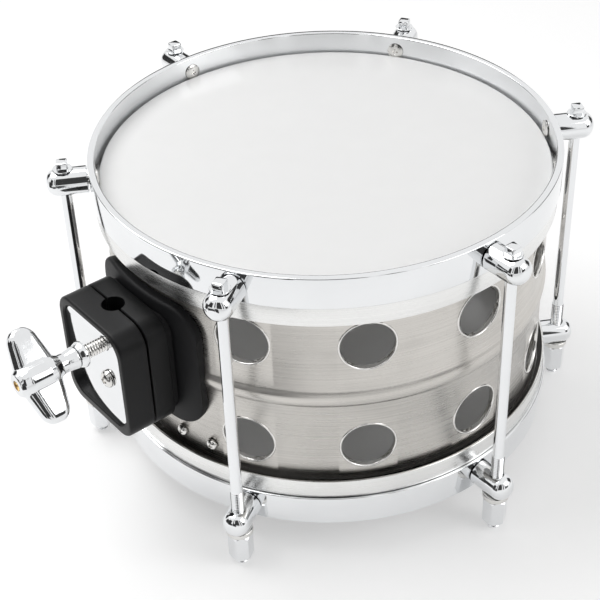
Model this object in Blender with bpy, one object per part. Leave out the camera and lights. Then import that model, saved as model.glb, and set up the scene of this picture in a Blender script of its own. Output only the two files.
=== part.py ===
"""Small metal repinique, a two-headed samba drum with six tension rods and a post clamp.

Units are metres and +Z is up. The origin lies on the floor under the middle of the bounding box,
and the rods' lower ends stand on the floor. The post clamp and its wing bolt point towards -X.
"""

from math import cos
from math import pi
from math import radians
from math import sin
from math import sqrt

import bmesh
import bpy
from mathutils import Matrix
from mathutils import Vector

# Clearances

SEAT_GAP = 0.0003
ROD_CLEARANCE = 0.0003
SCREW_CLEARANCE = 0.0003

# Shell, 8 inches across

SHELL_DIAMETER = 0.2032
SHELL_LENGTH = 0.1124
SHELL_WALL = 0.0010
SHELL_EDGE_RADIUS = 0.0010
SHELL_EDGE_RETURN = 0.0018
BEAD_WIDTH = 0.0090
BEAD_HEIGHT = 0.0014
HOLE_DIAMETER = 0.0232
HOLE_LIP_THICKNESS = 0.0009
HOLE_LIP_DEPTH = 0.0015
HOLE_ROW_SPACING = 0.0552
HOLE_COLUMNS = 12

# Drumheads

FILM_THICKNESS = 0.0003
FILM_CLEARANCE = 0.0003
BATTER_DRAW = 0.0055
RESONANT_DRAW = 0.0029
FLESH_HOOP_HEIGHT = 0.0092
FLESH_HOOP_WIDTH = 0.0028
FLESH_HOOP_WALL = 0.0010
FLESH_HOOP_WEB = 0.0025
FLESH_HOOP_INNER_LIP = 0.0007
FLESH_HOOP_INNER_HEIGHT = 0.0052

# Hoops, bent from flat bar

HOOP_HEIGHT = 0.0150
HOOP_THICKNESS = 0.0032
HOOP_OVERHANG = 0.0011

# Lugs, tension rods and nuts

ROD_COUNT = 6
LUG_DIAMETER = 0.0126
LUG_LENGTH = 0.0186
LUG_END_RADIUS = 0.0052
LUG_SCREW_DIAMETER = 0.0046
LUG_SCREW_LENGTH = 0.0092
LUG_SCREW_HEAD_DIAMETER = 0.0080
LUG_SCREW_HEAD_HEIGHT = 0.0010
ROD_DIAMETER = 0.0052
THREAD_DIAMETER = 0.0059
THREAD_LENGTH = 0.0450
ROD_SETBACK = 0.0080
ROD_HEAD_DIAMETER = 0.0088
ROD_HEAD_CONE = 0.0026
ROD_HEAD_RIM = 0.0004
ROD_KEY_WIDTH = 0.0052
ROD_KEY_HEIGHT = 0.0036
ROD_KEY_BEVEL = 0.0005
SPOT_FACE_DEPTH = 0.0017
WASHER_DIAMETER = 0.0124
WASHER_TAPER = 0.0007
WASHER_HEIGHT = 0.0032
NUT_WIDTH = 0.0100
NUT_HEIGHT = 0.0143
NUT_CHAMFER = 0.0012
ROD_END_LENGTH = 0.0035

# Post clamp, in a frame whose U axis points out from the drum, V sideways and W up

CLAMP_RISE = 0.0046
CLAMP_BLOCK_WIDTH = 0.0494
CLAMP_BLOCK_HEIGHT = 0.0560
CLAMP_CORNER_RADIUS = 0.0095
CLAMP_REACH = 0.0290
CLAMP_EDGE_BEVEL = 0.0010
GASKET_WIDTH = 0.0690
GASKET_HEIGHT = 0.0640
GASKET_CORNER_RADIUS = 0.0150
GASKET_THICKNESS = 0.0042
GASKET_EDGE_BEVEL = 0.0015
CLAMP_NECK_INSET = 0.0022
CLAMP_NECK_LENGTH = 0.0005
POST_HOLE_DIAMETER = 0.0102
POST_SETBACK = 0.0132
JAW_GAP = 0.0010
PLATE_WIDTH = 0.0415
PLATE_HEIGHT = 0.0475
PLATE_CORNER_RADIUS = 0.0080
PLATE_RISE = 0.0006
PLATE_THICKNESS = 0.0015
PLATE_RECESS = 0.0009
PLATE_SCREW_HEAD_DIAMETER = 0.0080
PLATE_SCREW_HEAD_HEIGHT = 0.0030
PLATE_SCREW_DIAMETER = 0.0046
PLATE_SCREW_LENGTH = 0.0085
PLATE_SCREW_RISE = 0.0005
PLATE_SCREW_OFFSET = 0.0107

# Wing bolt, a quarter of an inch thick and shown backed off

WING_BOLT_DIAMETER = 0.00635
WING_BOLT_OFFSET = 0.0105
WING_BOLT_RISE = 0.0195
WING_BOLT_BACKOFF = 0.0103
WING_BOLT_ENGAGEMENT = 0.0030
WING_BOLT_SEAT_DEPTH = 0.0140
WING_WASHER_DIAMETER = 0.0116
WING_WASHER_TOP_DIAMETER = 0.0100
WING_WASHER_RIM = 0.0014
WING_WASHER_HEIGHT = 0.0034
WING_NECK_DIAMETER = 0.0086
WING_NECK_FLARE = 0.0100
WING_NECK_LENGTH = 0.0080
WING_HUB_DIAMETER = 0.0140
WING_HUB_END_DIAMETER = 0.0100
WING_HUB_LENGTH = 0.0200
WING_HUB_TAPER = 0.0040
WING_HUB_BORE = 0.0044
WING_HUB_BORE_DEPTH = 0.0030
WING_SPAN = 0.0420
WING_ROOT = 0.0054
WING_WIDTH = 0.0195
WING_TIP_WIDTH = 0.0110
WING_THICKNESS = 0.0100
WING_TIP_THICKNESS = 0.0075
WING_TIP_ROUNDING = 0.0040
WING_ANGLE = radians(-50.0)

# Backing plate and its two screws

BACKING_WIDTH = 0.0765
BACKING_HEIGHT = 0.0810
BACKING_THICKNESS = 0.0015
BACKING_DROP = 0.0060
BACKING_CORNER_RADIUS = 0.0080
BACKING_EDGE_BEVEL = 0.0003
STUD_DIAMETER = 0.0052
STUD_SPACING = 0.0340
STUD_LENGTH = 0.0100
PLATE_BOLT_DIAMETER = 0.0029
PLATE_BOLT_HEAD_DIAMETER = 0.0056
PLATE_BOLT_HEAD_HEIGHT = 0.0021
PLATE_BOLT_LENGTH = 0.0045
PLATE_BOLT_EDGE = 0.0045
PLATE_BOLT_SIDE = 0.0047
PLATE_BOLT_SPACING = 0.01635

# Facet counts

DRUM_SEGMENTS = 48
HOLE_SEGMENTS = 14
LUG_SEGMENTS = 12
LUG_END_STEPS = 3
BORE_SEGMENTS = 8
WASHER_SEGMENTS = 12
CORNER_STEPS = 4
CURVED_PLATE_STEPS = 10

# Radii and heights that follow from the sizes above

SHELL_RADIUS = SHELL_DIAMETER / 2
SHELL_INNER = SHELL_RADIUS - SHELL_WALL
FILM_COLLAR_INNER = SHELL_RADIUS + FILM_CLEARANCE
FILM_COLLAR_OUTER = FILM_COLLAR_INNER + FILM_THICKNESS
FLESH_HOOP_INNER = FILM_COLLAR_OUTER + SEAT_GAP
FLESH_HOOP_OUTER = FLESH_HOOP_INNER + FLESH_HOOP_WIDTH
HOOP_OUTER = FLESH_HOOP_OUTER + HOOP_OVERHANG
HOOP_INNER = HOOP_OUTER - HOOP_THICKNESS
LUG_RADIUS = LUG_DIAMETER / 2
LUG_INNER_END = HOOP_OUTER + SEAT_GAP
LUG_OUTER_END = LUG_INNER_END + LUG_LENGTH
ROD_CIRCLE = LUG_OUTER_END - ROD_SETBACK

NUT_BOTTOM = ROD_END_LENGTH
NUT_TOP = NUT_BOTTOM + NUT_HEIGHT
WASHER_BOTTOM = NUT_TOP + SEAT_GAP
WASHER_TOP = WASHER_BOTTOM + WASHER_HEIGHT
BOTTOM_LUG_HEIGHT = WASHER_TOP + SEAT_GAP - SPOT_FACE_DEPTH + LUG_RADIUS
BOTTOM_HOOP_LOW = BOTTOM_LUG_HEIGHT - HOOP_HEIGHT / 2
BOTTOM_FLESH_LOW = BOTTOM_HOOP_LOW + HOOP_HEIGHT + SEAT_GAP
RESONANT_FACE = BOTTOM_FLESH_LOW - RESONANT_DRAW
SHELL_BOTTOM = RESONANT_FACE + FILM_THICKNESS + SEAT_GAP
SHELL_TOP = SHELL_BOTTOM + SHELL_LENGTH
SHELL_MIDDLE = (SHELL_BOTTOM + SHELL_TOP) / 2
BATTER_FACE = SHELL_TOP + SEAT_GAP + FILM_THICKNESS
TOP_FLESH_HIGH = BATTER_FACE - BATTER_DRAW
TOP_HOOP_LOW = TOP_FLESH_HIGH + SEAT_GAP
TOP_LUG_HEIGHT = TOP_HOOP_LOW + HOOP_HEIGHT / 2

CLAMP_ANGLE = pi
CLAMP_HEIGHT = SHELL_MIDDLE + CLAMP_RISE
BACKING_OUTER = SHELL_INNER * cos(pi / DRUM_SEGMENTS) - SEAT_GAP
BACKING_INNER = BACKING_OUTER - BACKING_THICKNESS
STUD_END = BACKING_OUTER + STUD_LENGTH
PLATE_BOLT_HEIGHT = CLAMP_HEIGHT - BACKING_DROP - BACKING_HEIGHT / 2 + PLATE_BOLT_EDGE
PLATE_BOLT_OUTER = CLAMP_ANGLE + (BACKING_WIDTH / 2 - PLATE_BOLT_SIDE) / BACKING_INNER
PLATE_BOLT_ANGLES = (PLATE_BOLT_OUTER - PLATE_BOLT_SPACING / BACKING_INNER, PLATE_BOLT_OUTER)
GASKET_BACK = SHELL_RADIUS + SEAT_GAP
GASKET_FACE = GASKET_BACK + GASKET_THICKNESS
CLAMP_BACK = GASKET_FACE + SEAT_GAP
CLAMP_FACE = SHELL_RADIUS + CLAMP_REACH
SPLIT_PLANE = CLAMP_FACE - POST_SETBACK
REAR_SPLIT = SPLIT_PLANE - JAW_GAP / 2
FRONT_SPLIT = SPLIT_PLANE + JAW_GAP / 2
PLATE_FACE = CLAMP_FACE - PLATE_RECESS
PLATE_BACK = PLATE_FACE - PLATE_THICKNESS
WING_BOLT_INNER_END = REAR_SPLIT - WING_BOLT_ENGAGEMENT
WING_WASHER_START = PLATE_FACE + WING_BOLT_BACKOFF
WING_WASHER_END = WING_WASHER_START + WING_WASHER_HEIGHT
WING_NECK_START = WING_WASHER_END + SEAT_GAP
WING_HUB_START = WING_NECK_START + WING_NECK_LENGTH
WING_HUB_END = WING_HUB_START + WING_HUB_LENGTH
WING_BOLT_OUTER_END = WING_NECK_START + WING_BOLT_SEAT_DEPTH
OVERCUT = 0.0010
SMOOTH_ANGLE = radians(35.0)
HALF_PITCH = pi / ROD_COUNT
LUG_REACH = (LUG_OUTER_END - LUG_END_RADIUS) * cos(HALF_PITCH) + LUG_END_RADIUS
LUG_REACH += (LUG_RADIUS - LUG_END_RADIUS) * sin(HALF_PITCH)
DRUM_PLACE = Matrix.Translation(((WING_HUB_END - LUG_REACH) / 2, 0.0, 0.0))


def clear_scene():
    """Remove every object, so the drum is the whole scene."""
    for scene_object in list(bpy.data.objects):
        bpy.data.objects.remove(scene_object, do_unlink=True)


def make_material(name, color, metallic, roughness):
    """Principled material with one colour, metal share and roughness."""
    material = bpy.data.materials.new(name)
    material.use_nodes = True
    shader = material.node_tree.nodes["Principled BSDF"]
    shader.inputs["Base Color"].default_value = (*color, 1.0)
    shader.inputs["Metallic"].default_value = metallic
    shader.inputs["Roughness"].default_value = roughness
    material.diffuse_color = (*color, 1.0)
    return material


def make_materials():
    """The drum's finishes, from the polished fittings to the black clamp."""
    return {
        "chrome": make_material("chrome", (0.83, 0.84, 0.85), 1.0, 0.08),
        "steel": make_material("brushed_steel", (0.62, 0.60, 0.57), 1.0, 0.32),
        "aluminium": make_material("turned_aluminium", (0.78, 0.78, 0.76), 1.0, 0.28),
        "film": make_material("white_film", (0.90, 0.90, 0.88), 0.0, 0.35),
        "black": make_material("black_moulding", (0.02, 0.02, 0.02), 0.0, 0.45),
        "rubber": make_material("black_rubber", (0.025, 0.025, 0.027), 0.0, 0.70),
        "zinc": make_material("plated_steel", (0.72, 0.71, 0.68), 1.0, 0.25),
    }


def smooth(mesh):
    """Smooth shading with sharp edges where the faces turn by more than the smooth angle."""
    mesh.shade_smooth()
    mesh.set_sharp_from_angle(angle=SMOOTH_ANGLE)
    return mesh


def finish_mesh(name, bm):
    """Turn a closed bmesh into a mesh with outward faces."""
    bmesh.ops.recalc_face_normals(bm, faces=bm.faces)
    mesh = bpy.data.meshes.new(name)
    bm.to_mesh(mesh)
    bm.free()
    return smooth(mesh)


def lathe_into(bm, profile, segments, matrix):
    """Turn a profile of (radius, height) points about a matrix's Z axis."""
    rings = []
    for radius, height in profile:
        if radius == 0.0:
            rings.append([bm.verts.new(matrix @ Vector((0.0, 0.0, height)))])
            continue
        ring = []
        for step in range(segments):
            angle = 2 * pi * step / segments
            point = Vector((radius * cos(angle), radius * sin(angle), height))
            ring.append(bm.verts.new(matrix @ point))
        rings.append(ring)
    pairs = list(zip(rings, rings[1:]))
    if len(rings[0]) > 1 and len(rings[-1]) > 1:
        pairs.append((rings[-1], rings[0]))
    for first, second in pairs:
        for step in range(segments):
            after = (step + 1) % segments
            if len(first) == 1:
                bm.faces.new((first[0], second[after], second[step]))
            elif len(second) == 1:
                bm.faces.new((first[step], first[after], second[0]))
            else:
                bm.faces.new((first[step], first[after], second[after], second[step]))


def lathe_mesh(name, profile, segments, matrix=Matrix.Identity(4)):
    """Mesh of one turned piece."""
    bm = bmesh.new()
    lathe_into(bm, profile, segments, matrix)
    return finish_mesh(name, bm)


def bar_profile(radius, low, high):
    """Profile of a plain round bar between two heights."""
    return [(0.0, low), (radius, low), (radius, high), (0.0, high)]


def rounded_outline(width, height, corner, steps):
    """Points of a rectangle with round corners, counter-clockwise from the right."""
    points = []
    for quarter in range(4):
        side_x = 1 if quarter in (0, 3) else -1
        side_y = 1 if quarter in (0, 1) else -1
        for step in range(steps + 1):
            angle = (quarter + step / steps) * pi / 2
            points.append((
                side_x * (width / 2 - corner) + corner * cos(angle),
                side_y * (height / 2 - corner) + corner * sin(angle),
            ))
    return points


def loft_mesh(name, layers):
    """Skin matching outlines, each a list of points, and cap both ends."""
    bm = bmesh.new()
    rings = [[bm.verts.new(point) for point in layer] for layer in layers]
    count = len(rings[0])
    for first, second in zip(rings, rings[1:]):
        for step in range(count):
            after = (step + 1) % count
            bm.faces.new((first[step], first[after], second[after], second[step]))
    bm.faces.new(list(reversed(rings[0])))
    bm.faces.new(rings[-1])
    return finish_mesh(name, bm)


def add_object(name, mesh, material, matrix=Matrix.Identity(4), axis=None):
    """Place a mesh as one named piece, on the empty of its joint's axis if it has one."""
    piece = bpy.data.objects.new(name, mesh)
    bpy.context.scene.collection.objects.link(piece)
    if material is not None:
        mesh.materials.clear()
        mesh.materials.append(material)
    placed = DRUM_PLACE @ matrix
    if axis is not None:
        piece.parent = axis
        placed = axis.matrix_basis.inverted() @ placed
    piece.matrix_basis = placed
    return piece


def axis_empty(name, location):
    """Empty that marks a joint's axis."""
    marker = bpy.data.objects.new(name, None)
    bpy.context.scene.collection.objects.link(marker)
    marker.matrix_basis = DRUM_PLACE @ Matrix.Translation(location)
    return marker


def carve(name, mesh, unions=(), cuts=()):
    """Mesh with others joined to it and then others cut from it, all in one frame."""
    blank = add_object(name + "_blank", mesh, None)
    tools = []
    for operation, meshes in (("UNION", unions), ("DIFFERENCE", cuts)):
        for tool_mesh in meshes:
            tool = add_object(name + "_tool", tool_mesh, None)
            tool.hide_render = True
            tool.display_type = "WIRE"
            modifier = blank.modifiers.new(operation.lower(), "BOOLEAN")
            modifier.operation = operation
            modifier.solver = "EXACT"
            modifier.object = tool
            tools.append(tool)
    bpy.context.view_layer.update()
    graph = bpy.context.evaluated_depsgraph_get()
    result = bpy.data.meshes.new_from_object(blank.evaluated_get(graph))
    result.name = name
    for helper in tools + [blank]:
        bpy.data.objects.remove(helper, do_unlink=True)
    return smooth(result)


def radial_matrix(angle, height):
    """Matrix whose Z axis points out from the drum's axis, with its X axis pointing down."""
    turn = Matrix.Rotation(angle, 4, "Z") @ Matrix.Rotation(pi / 2, 4, "Y")
    return Matrix.Translation((0.0, 0.0, height)) @ turn


def clamp_matrix(side, rise):
    """Matrix whose Z axis is the clamp's U axis, moved along V and W."""
    return Matrix.Translation((0.0, -side, rise)) @ radial_matrix(CLAMP_ANGLE, CLAMP_HEIGHT)


def clamp_bar(radius, near, far, side, rise, segments=BORE_SEGMENTS):
    """Round cutter or shaft along the clamp's U axis."""
    return lathe_mesh("clamp_bar", bar_profile(radius, near, far), segments, clamp_matrix(side, rise))


def clamp_layers(stations, width, height, corner, rise=0.0):
    """Rounded outlines across the U axis, one for each station of (distance, inset)."""
    layers = []
    for outward, inset in stations:
        outline = rounded_outline(width - 2 * inset, height - 2 * inset, corner - inset, CORNER_STEPS)
        layers.append([(-outward, -side, CLAMP_HEIGHT + rise + up) for side, up in outline])
    return layers


def rod_angle(index):
    """Direction of one tension rod, with the clamp midway between two of them."""
    return CLAMP_ANGLE + (2 * index + 1) * HALF_PITCH


def shell_profile():
    """Section of the shell's wall: turned-in edges and a raised bead round the middle."""
    outer = SHELL_RADIUS
    inner = SHELL_INNER
    edge = SHELL_EDGE_RADIUS
    returned = inner - SHELL_EDGE_RETURN
    half = BEAD_WIDTH / 2
    shoulder = BEAD_HEIGHT * sqrt(0.5)
    middle = SHELL_MIDDLE
    return [
        (outer - edge, SHELL_BOTTOM),
        (outer, SHELL_BOTTOM + edge),
        (outer, middle - half),
        (outer + shoulder, middle - half / 2),
        (outer + BEAD_HEIGHT, middle),
        (outer + shoulder, middle + half / 2),
        (outer, middle + half),
        (outer, SHELL_TOP - edge),
        (outer - edge, SHELL_TOP),
        (returned, SHELL_TOP),
        (returned, SHELL_TOP - SHELL_WALL),
        (inner, SHELL_TOP - SHELL_WALL - edge),
        (inner, middle + half),
        (inner + BEAD_HEIGHT, middle),
        (inner, middle - half),
        (inner, SHELL_BOTTOM + SHELL_WALL + edge),
        (returned, SHELL_BOTTOM + SHELL_WALL),
        (returned, SHELL_BOTTOM),
    ]


def make_shell(materials):
    """Brushed metal cylinder with a bead, two rows of lipped holes and the clamp's holes."""
    blank = lathe_mesh("shell", shell_profile(), DRUM_SEGMENTS)
    lips = bmesh.new()
    holes = bmesh.new()
    hole_radius = HOLE_DIAMETER / 2
    lip_radius = hole_radius + HOLE_LIP_THICKNESS
    lip_low = SHELL_INNER - HOLE_LIP_DEPTH
    lip_high = (SHELL_INNER + sqrt(SHELL_RADIUS**2 - lip_radius**2)) / 2
    for column in range(1, HOLE_COLUMNS):
        angle = CLAMP_ANGLE + column * 2 * pi / HOLE_COLUMNS
        for side in (-1, 1):
            matrix = radial_matrix(angle, SHELL_MIDDLE + side * HOLE_ROW_SPACING / 2)
            lathe_into(lips, bar_profile(lip_radius, lip_low, lip_high), HOLE_SEGMENTS, matrix)
            bore = bar_profile(hole_radius, lip_low - OVERCUT, SHELL_RADIUS + OVERCUT)
            lathe_into(holes, bore, HOLE_SEGMENTS, matrix)
    low = SHELL_INNER - OVERCUT
    high = SHELL_RADIUS + OVERCUT
    stud_bore = bar_profile(STUD_DIAMETER / 2 + SCREW_CLEARANCE, low, high)
    for side in (-1, 1):
        lathe_into(holes, stud_bore, BORE_SEGMENTS, clamp_matrix(0.0, side * STUD_SPACING / 2))
    bolt_bore = bar_profile(PLATE_BOLT_DIAMETER / 2 + SCREW_CLEARANCE, low, high)
    for angle in PLATE_BOLT_ANGLES:
        lathe_into(holes, bolt_bore, BORE_SEGMENTS, radial_matrix(angle, PLATE_BOLT_HEIGHT))
    mesh = carve("shell", blank, [finish_mesh("lips", lips)], [finish_mesh("holes", holes)])
    add_object("shell", mesh, materials["steel"])


def film_profile(face, collar_end, up):
    """Section of a head's film: flat disc, rounded edge and collar, with up as 1 or -1."""
    flat = SHELL_RADIUS - SHELL_EDGE_RADIUS
    outer_fall = SHELL_EDGE_RADIUS + FILM_THICKNESS
    return [
        (0.0, face),
        (flat, face),
        (FILM_COLLAR_OUTER, face - up * outer_fall),
        (FILM_COLLAR_OUTER, collar_end),
        (FILM_COLLAR_INNER, collar_end),
        (FILM_COLLAR_INNER, face - up * (outer_fall + FILM_THICKNESS)),
        (flat, face - up * FILM_THICKNESS),
        (0.0, face - up * FILM_THICKNESS),
    ]


def flesh_hoop_profile(seat, up):
    """Section of a flesh hoop: a channel whose open side faces the shell's middle."""
    outer_wall = FLESH_HOOP_OUTER - FLESH_HOOP_WALL
    inner_wall = FLESH_HOOP_INNER + FLESH_HOOP_INNER_LIP
    return [
        (FLESH_HOOP_INNER, seat),
        (FLESH_HOOP_OUTER, seat),
        (FLESH_HOOP_OUTER, seat - up * FLESH_HOOP_HEIGHT),
        (outer_wall, seat - up * FLESH_HOOP_HEIGHT),
        (outer_wall, seat - up * FLESH_HOOP_WEB),
        (inner_wall, seat - up * FLESH_HOOP_WEB),
        (inner_wall, seat - up * FLESH_HOOP_INNER_HEIGHT),
        (FLESH_HOOP_INNER, seat - up * FLESH_HOOP_INNER_HEIGHT),
    ]


def make_heads(materials):
    """Batter head on top and resonant head below, each a film and its flesh hoop."""
    heads = (("batter", BATTER_FACE, TOP_FLESH_HIGH, 1), ("resonant", RESONANT_FACE, BOTTOM_FLESH_LOW, -1))
    for name, face, seat, up in heads:
        collar_end = seat - up * FLESH_HOOP_INNER_HEIGHT
        film = lathe_mesh(name + "_film", film_profile(face, collar_end, up), DRUM_SEGMENTS)
        add_object(name + "_film", film, materials["film"])
        ring = lathe_mesh(name + "_flesh_hoop", flesh_hoop_profile(seat, up), DRUM_SEGMENTS)
        add_object(name + "_flesh_hoop", ring, materials["aluminium"])


def make_hoops(materials):
    """Two flat chromed bands that press on the flesh hoops, drilled for the lug screws."""
    bore = bar_profile(LUG_SCREW_DIAMETER / 2 + SCREW_CLEARANCE, HOOP_INNER - OVERCUT, HOOP_OUTER + OVERCUT)
    for name, middle in (("top_hoop", TOP_LUG_HEIGHT), ("bottom_hoop", BOTTOM_LUG_HEIGHT)):
        low = middle - HOOP_HEIGHT / 2
        high = middle + HOOP_HEIGHT / 2
        section = [(HOOP_INNER, low), (HOOP_OUTER, low), (HOOP_OUTER, high), (HOOP_INNER, high)]
        holes = bmesh.new()
        for index in range(ROD_COUNT):
            lathe_into(holes, bore, BORE_SEGMENTS, radial_matrix(rod_angle(index), middle))
        band = lathe_mesh(name, section, DRUM_SEGMENTS)
        add_object(name, carve(name, band, (), [finish_mesh("holes", holes)]), materials["chrome"])


def top_lug_bore():
    """Profile of the rod's hole through an upper lug, countersunk for the rod's head."""
    radius = ROD_DIAMETER / 2 + ROD_CLEARANCE
    slope = (ROD_HEAD_DIAMETER - ROD_DIAMETER) / 2 / ROD_HEAD_CONE
    low = -LUG_RADIUS - OVERCUT
    high = LUG_RADIUS + OVERCUT
    mouth = radius + (ROD_HEAD_CONE + OVERCUT) * slope
    return [(0.0, low), (radius, low), (radius, LUG_RADIUS - ROD_HEAD_CONE), (mouth, high), (0.0, high)]


def bottom_lug_bore():
    """Profile of the thread's hole through a lower lug, spot-faced below for the washer."""
    radius = THREAD_DIAMETER / 2 + ROD_CLEARANCE
    spot = WASHER_DIAMETER / 2 + SEAT_GAP
    low = -LUG_RADIUS - OVERCUT
    high = LUG_RADIUS + OVERCUT
    seat = -LUG_RADIUS + SPOT_FACE_DEPTH
    return [(0.0, low), (spot, low), (spot, seat), (radius, seat), (radius, high), (0.0, high)]


def lug_mesh(name, bore_profile, bore_segments):
    """Round bar with a domed end, pierced by the rod's hole and bored for its screw."""
    flat = LUG_RADIUS - LUG_END_RADIUS
    dome = LUG_OUTER_END - LUG_END_RADIUS
    profile = [(0.0, LUG_INNER_END), (LUG_RADIUS, LUG_INNER_END)]
    for step in range(LUG_END_STEPS + 1):
        angle = step / LUG_END_STEPS * pi / 2
        profile.append((flat + LUG_END_RADIUS * cos(angle), dome + LUG_END_RADIUS * sin(angle)))
    profile.append((0.0, LUG_OUTER_END))
    bar = lathe_mesh(name, profile, LUG_SEGMENTS)
    screw_end = HOOP_INNER - SEAT_GAP + LUG_SCREW_LENGTH + SCREW_CLEARANCE
    screw_bore = bar_profile(LUG_SCREW_DIAMETER / 2 + SCREW_CLEARANCE, LUG_INNER_END - OVERCUT, screw_end)
    upright = Matrix.Translation((0.0, 0.0, ROD_CIRCLE)) @ Matrix.Rotation(-pi / 2, 4, "Y")
    cuts = [
        lathe_mesh("screw_bore", screw_bore, BORE_SEGMENTS),
        lathe_mesh("rod_bore", bore_profile, bore_segments, upright),
    ]
    return carve(name, bar, (), cuts)


def lug_screw_mesh():
    """Low domed screw whose head lies inside the hoop and whose shank reaches into the lug."""
    seat = HOOP_INNER - SEAT_GAP
    radius = LUG_SCREW_HEAD_DIAMETER / 2
    shank = LUG_SCREW_DIAMETER / 2
    end = seat + LUG_SCREW_LENGTH
    profile = [
        (0.0, seat - LUG_SCREW_HEAD_HEIGHT),
        (radius * 0.6, seat - LUG_SCREW_HEAD_HEIGHT * 0.85),
        (radius, seat - LUG_SCREW_HEAD_HEIGHT * 0.3),
        (radius, seat),
        (shank, seat),
        (shank, end),
        (0.0, end),
    ]
    return lathe_mesh("lug_screw", profile, BORE_SEGMENTS)


def make_lugs(materials):
    """Twelve lugs and the screws that hold them to the hoops."""
    screw = lug_screw_mesh()
    levels = (
        ("top", TOP_LUG_HEIGHT, top_lug_bore(), BORE_SEGMENTS),
        ("bottom", BOTTOM_LUG_HEIGHT, bottom_lug_bore(), WASHER_SEGMENTS),
    )
    for level, height, bore, segments in levels:
        lug = lug_mesh(level + "_lug", bore, segments)
        for index in range(ROD_COUNT):
            matrix = radial_matrix(rod_angle(index), height)
            number = str(index + 1)
            add_object(level + "_lug_" + number, lug, materials["chrome"], matrix)
            add_object(level + "_lug_screw_" + number, screw, materials["zinc"], matrix)


def rod_mesh():
    """Rod with a conical collar under a square key head and a thicker threaded lower end."""
    shank = ROD_DIAMETER / 2
    thread = THREAD_DIAMETER / 2
    collar = ROD_HEAD_DIAMETER / 2
    crown = TOP_LUG_HEIGHT + LUG_RADIUS + SEAT_GAP
    rim = crown + ROD_HEAD_RIM
    chamfer = thread - shank
    profile = [
        (0.0, 0.0),
        (shank, 0.0),
        (thread, chamfer),
        (thread, THREAD_LENGTH - chamfer),
        (shank, THREAD_LENGTH),
        (shank, crown - ROD_HEAD_CONE),
        (collar, crown),
        (collar, rim),
        (0.0, rim),
    ]
    rod = lathe_mesh("tension_rod", profile, BORE_SEGMENTS)
    key_top = rim + ROD_KEY_HEIGHT
    outlines = (
        (ROD_KEY_WIDTH, crown),
        (ROD_KEY_WIDTH, key_top - ROD_KEY_BEVEL),
        (ROD_KEY_WIDTH - 2 * ROD_KEY_BEVEL, key_top),
    )
    layers = []
    for width, height in outlines:
        half = width / 2
        corners = ((half, half), (-half, half), (-half, -half), (half, -half))
        layers.append([(x, y, height) for x, y in corners])
    return carve("tension_rod", rod, [loft_mesh("key", layers)])


def nut_mesh():
    """Tall hexagon nut with both ends chamfered, about the rod's axis."""
    corner = NUT_WIDTH / 2 / cos(pi / 6)
    profile = [
        (0.0, NUT_BOTTOM),
        (corner - NUT_CHAMFER, NUT_BOTTOM),
        (corner, NUT_BOTTOM + NUT_CHAMFER),
        (corner, NUT_TOP - NUT_CHAMFER / 2),
        (corner - NUT_CHAMFER / 2, NUT_TOP),
        (0.0, NUT_TOP),
    ]
    blank = lathe_mesh("tuning_nut", profile, 6)
    bore = bar_profile(THREAD_DIAMETER / 2 + ROD_CLEARANCE, NUT_BOTTOM - OVERCUT, NUT_TOP + OVERCUT)
    return carve("tuning_nut", blank, (), [lathe_mesh("bore", bore, WASHER_SEGMENTS)])


def washer_mesh():
    """Tapered thick washer between a nut and the spot face under a lug."""
    bore = THREAD_DIAMETER / 2 + ROD_CLEARANCE
    radius = WASHER_DIAMETER / 2
    profile = [
        (bore, WASHER_BOTTOM),
        (radius - WASHER_TAPER, WASHER_BOTTOM),
        (radius, WASHER_BOTTOM + WASHER_TAPER),
        (radius, WASHER_TOP),
        (bore, WASHER_TOP),
    ]
    return lathe_mesh("nut_washer", profile, WASHER_SEGMENTS)


def make_rods(materials):
    """Six tension rods, each with its washer and tuning nut on one axis."""
    rod = rod_mesh()
    nut = nut_mesh()
    washer = washer_mesh()
    for index in range(ROD_COUNT):
        angle = rod_angle(index)
        place = Vector((ROD_CIRCLE * cos(angle), ROD_CIRCLE * sin(angle), 0.0))
        matrix = Matrix.Translation(place) @ Matrix.Rotation(angle, 4, "Z")
        number = str(index + 1)
        axis = axis_empty("rod_axis_" + number, place)
        add_object("tension_rod_" + number, rod, materials["chrome"], matrix, axis)
        add_object("nut_washer_" + number, washer, materials["zinc"], matrix, axis)
        add_object("tuning_nut_" + number, nut, materials["chrome"], matrix, axis)


def curved_plate_mesh(name, size, corner, inner_radius, thickness, middle, bevel):
    """Plate with round corners and a bevelled outer edge, bent round the drum's axis."""
    width, height = size
    outer_radius = inner_radius + thickness
    rings = []
    bm = bmesh.new()
    for step in range(CURVED_PLATE_STEPS + 1):
        arc = -cos(pi * step / CURVED_PLATE_STEPS) * width / 2
        overrun = max(abs(arc) - (width / 2 - corner), 0.0)
        inset = corner - sqrt(max(corner**2 - overrun**2, 0.0))
        half = height / 2 - min(inset, corner - bevel)
        angle = CLAMP_ANGLE + arc / inner_radius
        section = (
            (inner_radius, -half), (outer_radius - bevel, -half), (outer_radius, -half + bevel),
            (outer_radius, half - bevel), (outer_radius - bevel, half), (inner_radius, half),
        )
        ring = []
        for radius, rise in section:
            ring.append(bm.verts.new((radius * cos(angle), radius * sin(angle), middle + rise)))
        rings.append(ring)
    for first, second in zip(rings, rings[1:]):
        for index in range(len(first)):
            after = (index + 1) % len(first)
            bm.faces.new((first[index], first[after], second[after], second[index]))
    bm.faces.new(list(reversed(rings[0])))
    bm.faces.new(rings[-1])
    return finish_mesh(name, bm)


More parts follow.
